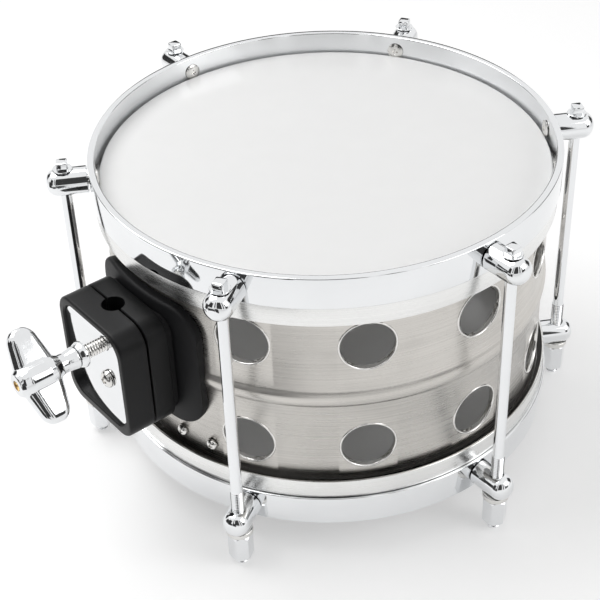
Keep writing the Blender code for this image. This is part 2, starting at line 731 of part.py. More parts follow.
def bead_relief_profile():
    """Ring that clears the shell's bead where the gasket crosses it."""
    half = BEAD_WIDTH / 2 + SEAT_GAP
    outer = SHELL_RADIUS + SEAT_GAP
    shoulder = BEAD_HEIGHT * sqrt(0.5)
    inside = SHELL_RADIUS - OVERCUT
    return [
        (inside, SHELL_MIDDLE - half),
        (outer, SHELL_MIDDLE - half),
        (outer + shoulder, SHELL_MIDDLE - half / 2),
        (outer + BEAD_HEIGHT, SHELL_MIDDLE),
        (outer + shoulder, SHELL_MIDDLE + half / 2),
        (outer, SHELL_MIDDLE + half),
        (inside, SHELL_MIDDLE + half),
    ]


def make_gasket(materials):
    """Rubber gasket between the shell and the clamp, relieved over the bead."""
    plate = curved_plate_mesh(
        "clamp_gasket", (GASKET_WIDTH, GASKET_HEIGHT), GASKET_CORNER_RADIUS,
        GASKET_BACK, GASKET_THICKNESS, CLAMP_HEIGHT, GASKET_EDGE_BEVEL,
    )
    low = GASKET_BACK - 2 * OVERCUT
    high = GASKET_FACE + OVERCUT
    cuts = [lathe_mesh("bead_relief", bead_relief_profile(), DRUM_SEGMENTS)]
    for side in (-1, 1):
        stud = STUD_DIAMETER / 2 + SCREW_CLEARANCE
        cuts.append(clamp_bar(stud, low, high, 0.0, side * STUD_SPACING / 2))
    bolt = WING_BOLT_DIAMETER / 2 + SCREW_CLEARANCE
    cuts.append(clamp_bar(bolt, low, high, WING_BOLT_OFFSET, WING_BOLT_RISE))
    add_object("clamp_gasket", carve("clamp_gasket", plate, (), cuts), materials["rubber"])


def make_backing_plate(materials):
    """Curved plate inside the shell with two studs that carry the rear jaw."""
    plate = curved_plate_mesh(
        "backing_plate", (BACKING_WIDTH, BACKING_HEIGHT), BACKING_CORNER_RADIUS,
        BACKING_INNER, BACKING_THICKNESS, CLAMP_HEIGHT - BACKING_DROP, BACKING_EDGE_BEVEL,
    )
    studs = []
    for side in (-1, 1):
        root = BACKING_OUTER - BACKING_THICKNESS / 2
        studs.append(clamp_bar(STUD_DIAMETER / 2, root, STUD_END, 0.0, side * STUD_SPACING / 2))
    radius = PLATE_BOLT_DIAMETER / 2 + SCREW_CLEARANCE
    bore = bar_profile(radius, BACKING_INNER - OVERCUT, BACKING_OUTER + OVERCUT)
    bores = []
    for angle in PLATE_BOLT_ANGLES:
        bores.append(lathe_mesh("bore", bore, BORE_SEGMENTS, radial_matrix(angle, PLATE_BOLT_HEIGHT)))
    add_object("backing_plate", carve("backing_plate", plate, studs, bores), materials["zinc"])


def make_backing_screws(materials):
    """Two small screws below the gasket that pull the backing plate against the shell."""
    seat = SHELL_RADIUS + SEAT_GAP
    radius = PLATE_BOLT_HEAD_DIAMETER / 2
    shank = PLATE_BOLT_DIAMETER / 2
    profile = [
        (0.0, seat - PLATE_BOLT_LENGTH),
        (shank, seat - PLATE_BOLT_LENGTH),
        (shank, seat),
        (radius, seat),
        (radius, seat + PLATE_BOLT_HEAD_HEIGHT * 0.45),
        (radius * 0.7, seat + PLATE_BOLT_HEAD_HEIGHT * 0.9),
        (0.0, seat + PLATE_BOLT_HEAD_HEIGHT),
    ]
    mesh = lathe_mesh("backing_screw", profile, BORE_SEGMENTS)
    for number, angle in enumerate(PLATE_BOLT_ANGLES, start=1):
        matrix = radial_matrix(angle, PLATE_BOLT_HEIGHT)
        add_object("backing_screw_" + str(number), mesh, materials["zinc"], matrix)


def post_bore_mesh():
    """Cutter for the upright post hole, which lies half in each jaw."""
    half = CLAMP_BLOCK_HEIGHT / 2 + OVERCUT
    place = Matrix.Translation((-SPLIT_PLANE, 0.0, CLAMP_HEIGHT))
    return lathe_mesh("post_bore", bar_profile(POST_HOLE_DIAMETER / 2, -half, half), HOLE_SEGMENTS, place)


def make_rear_jaw(materials):
    """Fixed half of the clamp, hollowed to the gasket's curve, with a neck next to it."""
    half_width = CLAMP_BLOCK_WIDTH / 2
    start = sqrt(CLAMP_BACK**2 - half_width**2) - OVERCUT
    neck_end = CLAMP_BACK + CLAMP_NECK_LENGTH
    stations = (
        (start, CLAMP_NECK_INSET), (neck_end, CLAMP_NECK_INSET), (neck_end, 0.0), (REAR_SPLIT, 0.0),
    )
    layers = clamp_layers(stations, CLAMP_BLOCK_WIDTH, CLAMP_BLOCK_HEIGHT, CLAMP_CORNER_RADIUS)
    low = CLAMP_HEIGHT - CLAMP_BLOCK_HEIGHT
    high = CLAMP_HEIGHT + CLAMP_BLOCK_HEIGHT
    bolt = WING_BOLT_DIAMETER / 2 + SCREW_CLEARANCE
    stud = STUD_DIAMETER / 2 + SCREW_CLEARANCE
    cuts = [
        lathe_mesh("gasket_curve", bar_profile(CLAMP_BACK, low, high), 2 * DRUM_SEGMENTS),
        post_bore_mesh(),
        clamp_bar(bolt, start - OVERCUT, REAR_SPLIT + OVERCUT, WING_BOLT_OFFSET, WING_BOLT_RISE),
    ]
    for side in (-1, 1):
        depth = STUD_END + SCREW_CLEARANCE
        cuts.append(clamp_bar(stud, start - OVERCUT, depth, 0.0, side * STUD_SPACING / 2))
    jaw = carve("rear_jaw", loft_mesh("rear_jaw", layers), (), cuts)
    add_object("rear_jaw", jaw, materials["black"])


def make_front_jaw(materials):
    """Moving half of the clamp, with a raised rim round the seat of the face plate."""
    stations = ((FRONT_SPLIT, 0.0), (CLAMP_FACE - CLAMP_EDGE_BEVEL, 0.0), (CLAMP_FACE, CLAMP_EDGE_BEVEL))
    layers = clamp_layers(stations, CLAMP_BLOCK_WIDTH, CLAMP_BLOCK_HEIGHT, CLAMP_CORNER_RADIUS)
    pocket_layers = clamp_layers(
        ((PLATE_BACK - SEAT_GAP, -SEAT_GAP), (CLAMP_FACE + OVERCUT, -SEAT_GAP)),
        PLATE_WIDTH, PLATE_HEIGHT, PLATE_CORNER_RADIUS, PLATE_RISE,
    )
    bolt = WING_BOLT_DIAMETER / 2 + SCREW_CLEARANCE
    screw = PLATE_SCREW_DIAMETER / 2 + SCREW_CLEARANCE
    screw_end = PLATE_FACE + SEAT_GAP - PLATE_SCREW_LENGTH - SCREW_CLEARANCE
    cuts = [
        loft_mesh("pocket", pocket_layers),
        post_bore_mesh(),
        clamp_bar(bolt, FRONT_SPLIT - OVERCUT, PLATE_BACK, WING_BOLT_OFFSET, WING_BOLT_RISE),
        clamp_bar(screw, screw_end, PLATE_BACK, PLATE_SCREW_OFFSET, PLATE_SCREW_RISE),
    ]
    jaw = carve("front_jaw", loft_mesh("front_jaw", layers), (), cuts)
    add_object("front_jaw", jaw, materials["black"])


def make_face_plate(materials):
    """Bright plate sunk in the front jaw, drilled for the wing bolt and its own screw."""
    layers = clamp_layers(
        ((PLATE_BACK, 0.0), (PLATE_FACE, 0.0)), PLATE_WIDTH, PLATE_HEIGHT, PLATE_CORNER_RADIUS, PLATE_RISE)
    bolt = WING_BOLT_DIAMETER / 2 + SCREW_CLEARANCE
    screw = PLATE_SCREW_DIAMETER / 2 + SCREW_CLEARANCE
    near = PLATE_BACK - OVERCUT
    far = PLATE_FACE + OVERCUT
    cuts = [
        clamp_bar(bolt, near, far, WING_BOLT_OFFSET, WING_BOLT_RISE),
        clamp_bar(screw, near, far, PLATE_SCREW_OFFSET, PLATE_SCREW_RISE),
    ]
    plate = carve("face_plate", loft_mesh("face_plate", layers), (), cuts)
    add_object("face_plate", plate, materials["chrome"])


def make_plate_screw(materials):
    """Domed screw that fastens the face plate to the front jaw."""
    seat = PLATE_FACE + SEAT_GAP
    radius = PLATE_SCREW_HEAD_DIAMETER / 2
    shank = PLATE_SCREW_DIAMETER / 2
    profile = [
        (0.0, seat - PLATE_SCREW_LENGTH),
        (shank, seat - PLATE_SCREW_LENGTH),
        (shank, seat),
        (radius, seat),
        (radius * 0.95, seat + PLATE_SCREW_HEAD_HEIGHT * 0.4),
        (radius * 0.65, seat + PLATE_SCREW_HEAD_HEIGHT * 0.8),
        (0.0, seat + PLATE_SCREW_HEAD_HEIGHT),
    ]
    mesh = lathe_mesh("plate_screw", profile, BORE_SEGMENTS)
    add_object("plate_screw", mesh, materials["zinc"], clamp_matrix(PLATE_SCREW_OFFSET, PLATE_SCREW_RISE))


def wing_blade_mesh(side):
    """One tapered wing of the handle, rounded towards its tip, along the local Y axis."""
    reach = WING_SPAN / 2
    middle = (WING_HUB_START + WING_HUB_END) / 2
    layers = []
    for distance, narrowing in (
        (WING_ROOT, 0.0),
        (reach - 2 * WING_TIP_ROUNDING, 0.0),
        (reach - WING_TIP_ROUNDING, 0.13),
        (reach - WING_TIP_ROUNDING * 0.3, 0.5),
        (reach, 1.0),
    ):
        share = distance / reach
        thick = WING_THICKNESS + (WING_TIP_THICKNESS - WING_THICKNESS) * share
        wide = WING_WIDTH + (WING_TIP_WIDTH - WING_WIDTH) * share
        thick -= WING_TIP_ROUNDING * narrowing
        wide -= WING_TIP_ROUNDING * narrowing * 2
        outline = rounded_outline(thick, wide, thick * 0.45, 2)
        layers.append([(x, side * distance, middle + z) for x, z in outline])
    return loft_mesh("wing_blade", layers)


def wing_handle_mesh():
    """Wing handle about its own Z axis: flared neck, round hub and two wings."""
    seat = WING_BOLT_DIAMETER / 2 + SCREW_CLEARANCE
    seat_end = WING_BOLT_OUTER_END + SCREW_CLEARANCE
    neck = WING_NECK_DIAMETER / 2
    hub = WING_HUB_DIAMETER / 2
    bore = WING_HUB_BORE / 2
    profile = [
        (0.0, seat_end),
        (seat, seat_end),
        (seat, WING_NECK_START),
        (WING_NECK_FLARE / 2, WING_NECK_START),
        (neck, WING_NECK_START + WING_NECK_LENGTH / 2),
        (neck, WING_HUB_START),
        (hub, WING_HUB_START + WING_HUB_TAPER),
        (hub, WING_HUB_END - WING_HUB_TAPER),
        (WING_HUB_END_DIAMETER / 2, WING_HUB_END),
        (bore, WING_HUB_END),
        (bore, WING_HUB_END - WING_HUB_BORE_DEPTH),
        (0.0, WING_HUB_END - WING_HUB_BORE_DEPTH),
    ]
    body = lathe_mesh("wing_handle", profile, WASHER_SEGMENTS)
    return carve("wing_handle", body, [wing_blade_mesh(-1), wing_blade_mesh(1)])


def make_wing_bolt(materials):
    """Wing bolt beside the post hole: threaded stud, loose cup washer and wing handle."""
    matrix = clamp_matrix(WING_BOLT_OFFSET, WING_BOLT_RISE)
    axis = axis_empty("wing_bolt_axis", matrix.translation)
    radius = WING_BOLT_DIAMETER / 2
    stud = lathe_mesh(
        "wing_stud", bar_profile(radius, WING_BOLT_INNER_END, WING_BOLT_OUTER_END), WASHER_SEGMENTS)
    add_object("wing_stud", stud, materials["chrome"], matrix, axis)
    bore = radius + SEAT_GAP
    rim = WING_WASHER_DIAMETER / 2
    washer_profile = [
        (bore, WING_WASHER_START),
        (rim, WING_WASHER_START),
        (rim, WING_WASHER_START + WING_WASHER_RIM),
        (WING_WASHER_TOP_DIAMETER / 2, WING_WASHER_END),
        (bore, WING_WASHER_END),
    ]
    washer = lathe_mesh("wing_washer", washer_profile, WASHER_SEGMENTS)
    add_object("wing_washer", washer, materials["chrome"], matrix, axis)
    turned = matrix @ Matrix.Rotation(WING_ANGLE, 4, "Z")
    add_object("wing_handle", wing_handle_mesh(), materials["chrome"], turned, axis)


def build_drum():
    """Make every piece of the drum."""
    clear_scene()
    materials = make_materials()
    make_shell(materials)
    make_heads(materials)
    make_hoops(materials)
    make_lugs(materials)
    make_rods(materials)
    make_gasket(materials)
    make_backing_plate(materials)
    make_backing_screws(materials)
    make_rear_jaw(materials)
    make_front_jaw(materials)
    make_face_plate(materials)
    make_plate_screw(materials)
    make_wing_bolt(materials)


build_drum()
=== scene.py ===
"""Dressed scene of a small metal repinique, a two-headed samba drum with a post clamp.

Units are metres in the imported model's frame: +Z is up, the post clamp points towards -X, and the
rods' lower ends stand on the floor.
"""

from math import cos
from math import pi
from math import radians
from math import sin
from math import sqrt

import bmesh
import bpy
from mathutils import Matrix
from mathutils import Vector


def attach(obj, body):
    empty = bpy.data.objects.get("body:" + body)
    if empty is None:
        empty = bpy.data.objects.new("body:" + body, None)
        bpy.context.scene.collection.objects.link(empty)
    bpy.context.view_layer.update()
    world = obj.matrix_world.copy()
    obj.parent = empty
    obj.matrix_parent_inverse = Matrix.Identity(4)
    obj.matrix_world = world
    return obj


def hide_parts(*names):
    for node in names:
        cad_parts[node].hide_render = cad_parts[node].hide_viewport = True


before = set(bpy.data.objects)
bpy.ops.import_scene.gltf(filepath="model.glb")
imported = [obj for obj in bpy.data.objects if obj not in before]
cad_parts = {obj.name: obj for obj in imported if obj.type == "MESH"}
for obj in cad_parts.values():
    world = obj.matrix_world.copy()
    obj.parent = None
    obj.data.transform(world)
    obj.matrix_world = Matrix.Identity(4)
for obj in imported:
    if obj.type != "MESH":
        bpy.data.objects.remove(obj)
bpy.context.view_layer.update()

# Sizes repeated from the model's source

SEAT_GAP = 0.0003
SHELL_RADIUS = 0.1016
SHELL_INNER = 0.1006
SHELL_BOTTOM = 0.0317
SHELL_TOP = 0.1441
SHELL_MIDDLE = 0.0879
SHELL_EDGE = 0.0010
SHELL_RETURN = 0.0988
BEAD_WIDTH = 0.0090
BEAD_HEIGHT = 0.0014
HOLE_RADIUS = 0.0116
HOLE_RIM_RADIUS = 0.0125
HOLE_ROW_SPACING = 0.0552
HOLE_COLUMNS = 12
FILM_INNER = 0.1019
FILM_OUTER = 0.1022
FILM_THICKNESS = 0.0003
BATTER_FACE = 0.1447
RESONANT_FACE = 0.0311
FLESH_INNER = 0.1025
FLESH_OUTER = 0.1053
BATTER_SEAT = 0.1392
RESONANT_SEAT = 0.0340
HOOP_INNER = 0.1032
HOOP_OUTER = 0.1064
HOOP_HEIGHT = 0.0150
TOP_LUG_HEIGHT = 0.1470
BOTTOM_LUG_HEIGHT = 0.0262
LUG_RADIUS = 0.0063
LUG_INNER_END = 0.1067
LUG_OUTER_END = 0.1253
LUG_END_RADIUS = 0.0052
ROD_COUNT = 6
ROD_CIRCLE = 0.1173
ROD_RADIUS = 0.0026
ROD_TOP = 0.1576
THREAD_RADIUS = 0.00295
THREAD_LENGTH = 0.0450
NUT_WIDTH = 0.0100
NUT_BOTTOM = 0.0035
NUT_TOP = 0.0178
WASHER_RADIUS = 0.0062
WASHER_BOTTOM = 0.0181
WASHER_TOP = 0.0213
SPOT_FACE_HEIGHT = 0.0216
CLAMP_HEIGHT = 0.0925
CLAMP_BACK = 0.1064
CLAMP_NECK_END = 0.1069
CLAMP_FACE = 0.1306
SPLIT_PLANE = 0.1174
REAR_SPLIT = 0.1169
FRONT_SPLIT = 0.1179
BLOCK_WIDTH = 0.0494
BLOCK_HEIGHT = 0.0560
BLOCK_CORNER = 0.0095
NECK_INSET = 0.0022
POST_HOLE_RADIUS = 0.0051
PLATE_WIDTH = 0.0415
PLATE_HEIGHT = 0.0475
PLATE_CORNER = 0.0080
PLATE_RISE = 0.0006
PLATE_BACK = 0.1282
PLATE_FACE = 0.1297
PLATE_SCREW_PLACE = (0.0107, 0.0005)
PLATE_SCREW_RADIUS = 0.0023
WING_PLACE = (0.0105, 0.0195)
WING_BOLT_RADIUS = 0.003175
WING_BOLT_INNER_END = 0.1139
WING_BOLT_OUTER_END = 0.1577
WING_WASHER_START = 0.1400
WING_WASHER_END = 0.1434
WING_NECK_START = 0.1437
WING_HUB_START = 0.1517
WING_HUB_END = 0.1717
WING_ANGLE = radians(-50.0)
WING_REACH = 0.0210
WING_ROOT = 0.0030
WING_WIDTH = 0.0195
WING_TIP_WIDTH = 0.0110
WING_THICKNESS = 0.0100
WING_TIP_THICKNESS = 0.0075
WING_TIP_ROUNDING = 0.0048
PLATE_BOLT_ANGLES = (radians(190.0), radians(199.5))
PLATE_BOLT_HEIGHT = 0.0505
DRUM_X = 0.030970175
DRUM = Matrix.Translation((DRUM_X, 0.0, 0.0))
CLAMP_ANGLE = pi

# Facets of the visual pieces

ROUND = 192
FINE = 40
SMALL = 24
SMOOTH_ANGLE = radians(32.0)


def surface(name, color, metallic, roughness, stretch, detail, extra=None):
    """Principled material whose colour, roughness and relief follow one stretched noise.

    stretch scales the object's coordinates. detail holds the shares by which the noise changes
    the colour and the roughness, and the relief's depth in metres.
    """
    tint, gloss, depth = detail
    material = bpy.data.materials.new(name)
    material.use_nodes = True
    nodes = material.node_tree.nodes
    links = material.node_tree.links
    shader = nodes["Principled BSDF"]
    shader.inputs["Metallic"].default_value = metallic
    for socket, value in (extra or {}).items():
        shader.inputs[socket].default_value = value
    place = nodes.new("ShaderNodeTexCoord")
    mapping = nodes.new("ShaderNodeMapping")
    mapping.inputs["Scale"].default_value = stretch
    links.new(place.outputs["Object"], mapping.inputs["Vector"])
    grain = nodes.new("ShaderNodeTexNoise")
    grain.inputs["Scale"].default_value = 1.0
    grain.inputs["Detail"].default_value = 4.0
    links.new(mapping.outputs["Vector"], grain.inputs["Vector"])
    clouds = nodes.new("ShaderNodeTexNoise")
    clouds.inputs["Scale"].default_value = 28.0
    clouds.inputs["Detail"].default_value = 3.0
    links.new(place.outputs["Object"], clouds.inputs["Vector"])
    blend = nodes.new("ShaderNodeMath")
    blend.operation = "ADD"
    links.new(grain.outputs["Fac"], blend.inputs[0])
    links.new(clouds.outputs["Fac"], blend.inputs[1])
    colors = nodes.new("ShaderNodeMapRange")
    colors.inputs["From Min"].default_value = 0.6
    colors.inputs["From Max"].default_value = 1.4
    links.new(blend.outputs["Value"], colors.inputs["Value"])
    mix = nodes.new("ShaderNodeMix")
    mix.data_type = "RGBA"
    mix.inputs["A"].default_value = (*(channel * (1 - tint) for channel in color), 1.0)
    mix.inputs["B"].default_value = (*(min(channel * (1 + tint), 1.0) for channel in color), 1.0)
    links.new(colors.outputs["Result"], mix.inputs["Factor"])
    links.new(mix.outputs["Result"], shader.inputs["Base Color"])
    rough = nodes.new("ShaderNodeMapRange")
    rough.inputs["From Min"].default_value = 0.6
    rough.inputs["From Max"].default_value = 1.4
    rough.inputs["To Min"].default_value = roughness * (1 - gloss)
    rough.inputs["To Max"].default_value = roughness * (1 + gloss)
    links.new(blend.outputs["Value"], rough.inputs["Value"])
    links.new(rough.outputs["Result"], shader.inputs["Roughness"])
    bump = nodes.new("ShaderNodeBump")
    bump.inputs["Strength"].default_value = 1.0
    bump.inputs["Distance"].default_value = depth
    links.new(grain.outputs["Fac"], bump.inputs["Height"])
    links.new(bump.outputs["Normal"], shader.inputs["Normal"])
    material.diffuse_color = (*color, 1.0)
    return material


BRUSHED = {"Anisotropic": 0.5}
DULL = {"Specular IOR Level": 0.22}
FILM_LIGHT = {
    "Subsurface Weight": 0.25, "Subsurface Radius": (1.0, 1.0, 1.0), "Subsurface Scale": 0.003,
    "Coat Weight": 0.2, "Coat Roughness": 0.15,
}
MATERIALS = {
    "shell": surface("brushed_shell", (0.58, 0.56, 0.53), 1.0, 0.28, (14, 14, 2600), (0.20, 0.35, 1.0e-5), BRUSHED),
    "chrome": surface("polished_chrome", (0.80, 0.81, 0.82), 1.0, 0.05, (60, 60, 60), (0.02, 0.5, 4e-6)),
    "cast_chrome": surface("cast_chrome", (0.78, 0.79, 0.80), 1.0, 0.07, (220, 220, 220), (0.03, 0.5, 2.5e-5)),
    "turned": surface("turned_aluminium", (0.80, 0.80, 0.79), 1.0, 0.24, (6, 6, 5200), (0.10, 0.35, 1.2e-5)),
    "film": surface("white_film", (0.95, 0.95, 0.945), 0.0, 0.32, (90, 90, 90), (0.010, 0.15, 6e-6), FILM_LIGHT),
    "moulding": surface("black_moulding", (0.007, 0.007, 0.0075), 0.0, 0.40, (1500, 1500, 1500), (0.3, 0.2, 3e-5), DULL),
    "rubber": surface("black_rubber", (0.008, 0.008, 0.009), 0.0, 0.55, (2600, 2600, 2600), (0.35, 0.15, 4e-5), DULL),
    "plated": surface("plated_steel", (0.74, 0.73, 0.71), 1.0, 0.18, (500, 500, 500), (0.06, 0.4, 8e-6)),
    # Black resin in the flesh hoops' channels; where it fills the open gap above the flesh hoop, its black is painted
    # shade of that gap.
    "resin_and_painted_shade": surface("black_resin_and_painted_shade", (0.012, 0.012, 0.012), 0.0, 0.35, (400, 400, 400), (0.3, 0.3, 6e-5)),
    "brass": surface("brass", (0.72, 0.50, 0.20), 1.0, 0.24, (600, 600, 600), (0.08, 0.3, 1e-5)),
}


def finish_mesh(name, bm, angle=SMOOTH_ANGLE):
    """Turn a bmesh into a mesh with outward faces, smooth but for its sharp edges."""
    bmesh.ops.recalc_face_normals(bm, faces=bm.faces)
    mesh = bpy.data.meshes.new(name)
    bm.to_mesh(mesh)
    bm.free()
    mesh.shade_smooth()
    mesh.set_sharp_from_angle(angle=angle)
    return mesh


def lathe_into(bm, profile, segments, matrix=Matrix.Identity(4)):
    """Turn a profile of (radius, height) points about a matrix's Z axis."""
    rings = []
    for radius, height in profile:
        if radius == 0.0:
            rings.append([bm.verts.new(matrix @ Vector((0.0, 0.0, height)))])
            continue
        ring = []
        for step in range(segments):
            angle = 2 * pi * step / segments
            ring.append(bm.verts.new(matrix @ Vector((radius * cos(angle), radius * sin(angle), height))))
        rings.append(ring)
    pairs = list(zip(rings, rings[1:]))
    if len(rings[0]) > 1 and len(rings[-1]) > 1:
        pairs.append((rings[-1], rings[0]))
    for first, second in pairs:
        for step in range(segments):
            after = (step + 1) % segments
            if len(first) == 1:
                bm.faces.new((first[0], second[after], second[step]))
            elif len(second) == 1:
                bm.faces.new((first[step], first[after], second[0]))
            else:
                bm.faces.new((first[step], first[after], second[after], second[step]))


def lathe(name, profile, segments, matrix=Matrix.Identity(4)):
    """Mesh of one turned piece."""
    bm = bmesh.new()
    lathe_into(bm, profile, segments, matrix)
    return finish_mesh(name, bm)


def softened(points, radius, steps=3, closed=True):
    """Outline whose corners are rounded by curves that start one radius from each corner."""
    result = []
    count = len(points)
    for index, point in enumerate(points):
        corner = Vector(point)
        if not closed and index in (0, count - 1):
            result.append(tuple(corner))
            continue
        before = Vector(points[index - 1]) - corner
        after = Vector(points[(index + 1) % count]) - corner
        start = corner + before.normalized() * min(radius, before.length * 0.45)
        end = corner + after.normalized() * min(radius, after.length * 0.45)
        for step in range(steps + 1):
            share = step / steps
            mixed = start * (1 - share) ** 2 + corner * 2 * share * (1 - share) + end * share**2
            result.append(tuple(mixed))
    return result


def bar(radius, low, high):
    """Profile of a plain round bar."""
    return [(0.0, low), (radius, low), (radius, high), (0.0, high)]


def outline(width, height, corner, steps=8):
    """Points of a rectangle with round corners, counter-clockwise from the right."""
    points = []
    for quarter in range(4):
        side_x = 1 if quarter in (0, 3) else -1
        side_y = 1 if quarter in (0, 1) else -1
        for step in range(steps + 1):
            angle = (quarter + step / steps) * pi / 2
            points.append((
                side_x * (width / 2 - corner) + corner * cos(angle),
                side_y * (height / 2 - corner) + corner * sin(angle),
            ))
    return points


def loft(name, layers, angle=SMOOTH_ANGLE):
    """Skin matching outlines and cap both ends."""
    bm = bmesh.new()
    rings = [[bm.verts.new(point) for point in layer] for layer in layers]
    count = len(rings[0])
    for first, second in zip(rings, rings[1:]):
        for step in range(count):
            after = (step + 1) % count
            bm.faces.new((first[step], first[after], second[after], second[step]))
    bm.faces.new(list(reversed(rings[0])))
    bm.faces.new(rings[-1])
    return finish_mesh(name, bm, angle)


def link(name, mesh):
    """New object in the scene."""
    result = bpy.data.objects.new(name, mesh)
    bpy.context.scene.collection.objects.link(result)
    return result


def carve(name, mesh, unions=(), cuts=(), common=(), angle=SMOOTH_ANGLE):
    """Mesh with others joined to it, cut from it or kept in common with it."""
    blank = link(name + "_blank", mesh)
    tools = []
    for operation, meshes in (("UNION", unions), ("INTERSECT", common), ("DIFFERENCE", cuts)):
        for tool_mesh in meshes:
            tool = link(name + "_tool", tool_mesh)
            modifier = blank.modifiers.new(operation.lower(), "BOOLEAN")
            modifier.operation = operation
            modifier.solver = "EXACT"
            modifier.object = tool
            tools.append(tool)
    result = applied(name, blank, angle)
    for tool in tools:
        bpy.data.objects.remove(tool, do_unlink=True)
    return result


def applied(name, blank, angle=SMOOTH_ANGLE):
    """Mesh of an object with its modifiers applied; the object is removed."""
    bpy.context.view_layer.update()
    graph = bpy.context.evaluated_depsgraph_get()
    mesh = bpy.data.meshes.new_from_object(blank.evaluated_get(graph))
    mesh.name = name
    bpy.data.objects.remove(blank, do_unlink=True)
    mesh.shade_smooth()
    mesh.set_sharp_from_angle(angle=angle)
    return mesh


def piece(name, mesh, finish, body, nodes=(), matrix=Matrix.Identity(4)):
    """One visible piece that rides on a body and may stand for CAD nodes."""
    placed = mesh.copy()
    placed.name = name
    placed.transform(matrix)
    placed.materials.clear()
    placed.materials.append(MATERIALS[finish])
    result = link(name, placed)
    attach(result, body)
    if nodes:
        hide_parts(*nodes)
    return result


def radial(angle, height):
    """Matrix whose Z axis points out from the drum's axis, with its X axis pointing down."""
    turn = Matrix.Rotation(angle, 4, "Z") @ Matrix.Rotation(pi / 2, 4, "Y")
    return DRUM @ Matrix.Translation((0.0, 0.0, height)) @ turn


def clamp(side, rise):
    """Matrix whose Z axis points out from the drum through a place on the clamp."""
    return Matrix.Translation((0.0, -side, rise)) @ radial(CLAMP_ANGLE, CLAMP_HEIGHT)


def clamp_layers(stations, width, height, corner, rise=0.0):
    """Rounded outlines across the clamp's outward axis, one for each (distance, inset)."""
    layers = []
    for outward, inset in stations:
        points = outline(width - 2 * inset, height - 2 * inset, corner - inset)
        layers.append([(DRUM_X - outward, -side, CLAMP_HEIGHT + rise + up) for side, up in points])
    return layers


def rolled(near, far, radius, steps=4):
    """Stations of a block whose edges round over at its far end."""
    stations = [(near, 0.0)]
    for step in range(steps + 1):
        angle = step / steps * pi / 2
        stations.append((far - radius + radius * sin(angle), radius * (1 - cos(angle))))
    return stations


def rod_angle(index):
    """Direction of one tension rod."""
    return CLAMP_ANGLE + (2 * index + 1) * pi / ROD_COUNT


def threaded(root, crest, low, high, pitch):
    """Profile points of a thread drawn as ridges one pitch apart."""
    points = []
    for index in range(int((high - low) / pitch)):
        start = low + index * pitch
        points.append((root, start))
        points.append((crest, start + pitch * 0.38))
        points.append((crest, start + pitch * 0.62))
    return points


def cross_recess(size, width, top, depth):
    """Two cutters for a cross recess that narrows towards its floor."""
    cutters = []
    for long_side, short_side in ((size, width), (width, size)):
        layers = []
        for share, height in ((0.45, top - depth), (1.0, top + depth * 0.2)):
            half_x = long_side / 2 * (share if long_side > short_side else 1.0)
            half_y = short_side / 2 * (share if short_side > long_side else 1.0)
            corners = ((half_x, half_y), (-half_x, half_y), (-half_x, -half_y), (half_x, -half_y))
            layers.append([(x, y, height) for x, y in corners])
        cutters.append(loft("recess", layers))
    return cutters


def make_shell():
    """Brushed shell with its bead, its pierced holes and their rolled rims."""
    bead = []
    for step in range(13):
        share = step / 12
        height = SHELL_MIDDLE + (share - 0.5) * BEAD_WIDTH
        bead.append((SHELL_RADIUS + BEAD_HEIGHT * sin(pi * share), height))
    outer = softened([(SHELL_RETURN, SHELL_BOTTOM), (SHELL_RADIUS, SHELL_BOTTOM), bead[0]], SHELL_EDGE, 4, False)
    upper = softened([bead[-1], (SHELL_RADIUS, SHELL_TOP), (SHELL_RETURN, SHELL_TOP)], SHELL_EDGE, 4, False)
    inner = [
        (SHELL_RETURN, SHELL_TOP - SHELL_EDGE),
        (SHELL_INNER, SHELL_TOP - 2 * SHELL_EDGE),
        (SHELL_INNER, SHELL_MIDDLE + BEAD_WIDTH / 2),
        (SHELL_INNER + BEAD_HEIGHT, SHELL_MIDDLE),
        (SHELL_INNER, SHELL_MIDDLE - BEAD_WIDTH / 2),
        (SHELL_INNER, SHELL_BOTTOM + 2 * SHELL_EDGE),
        (SHELL_RETURN, SHELL_BOTTOM + SHELL_EDGE),
    ]
    blank = lathe("shell_skin", outer + bead[1:-1] + upper + inner, ROUND)
    holes = bmesh.new()
    rims = bmesh.new()
    section = (
        (HOLE_RIM_RADIUS + 0.0003, 0.00002), (HOLE_RIM_RADIUS + 0.0001, -0.00030),
        (HOLE_RIM_RADIUS - 0.0003, -0.00040), (HOLE_RIM_RADIUS - 0.0006, -0.00020),
        (HOLE_RADIUS + 0.0001, 0.0004), (HOLE_RADIUS, 0.0014),
        (HOLE_RADIUS + 0.0001, 0.0021), (HOLE_RADIUS + 0.0009, 0.0024), (HOLE_RIM_RADIUS, 0.0016),
    )
    for column in range(1, HOLE_COLUMNS):
        angle = CLAMP_ANGLE + column * 2 * pi / HOLE_COLUMNS
        for side in (-1, 1):
            place = radial(angle, SHELL_MIDDLE + side * HOLE_ROW_SPACING / 2)
            local = DRUM.inverted() @ place
            lathe_into(holes, bar(HOLE_RIM_RADIUS, SHELL_INNER - 0.004, SHELL_RADIUS + 0.001), FINE, local)
            rings = []
            for radius, depth in section:
                ring = []
                for step in range(FINE):
                    turn = 2 * pi * step / FINE
                    across = radius * sin(turn)
                    out = sqrt(SHELL_RADIUS**2 - across**2) - depth
                    ring.append(rims.verts.new(local @ Vector((radius * cos(turn), across, out))))
                rings.append(ring)
            for first, second in zip(rings, rings[1:] + rings[:1]):
                for step in range(FINE):
                    after = (step + 1) % FINE
                    rims.faces.new((first[step], first[after], second[after], second[step]))
    mesh = carve("shell_skin", blank, (), [finish_mesh("holes", holes)])
    piece("shell_skin", mesh, "shell", "drum", ["shell"], DRUM)
    rim_mesh = finish_mesh("hole_rims", rims, radians(60))
    piece("hole_rims", rim_mesh, "plated", "drum", (), DRUM)


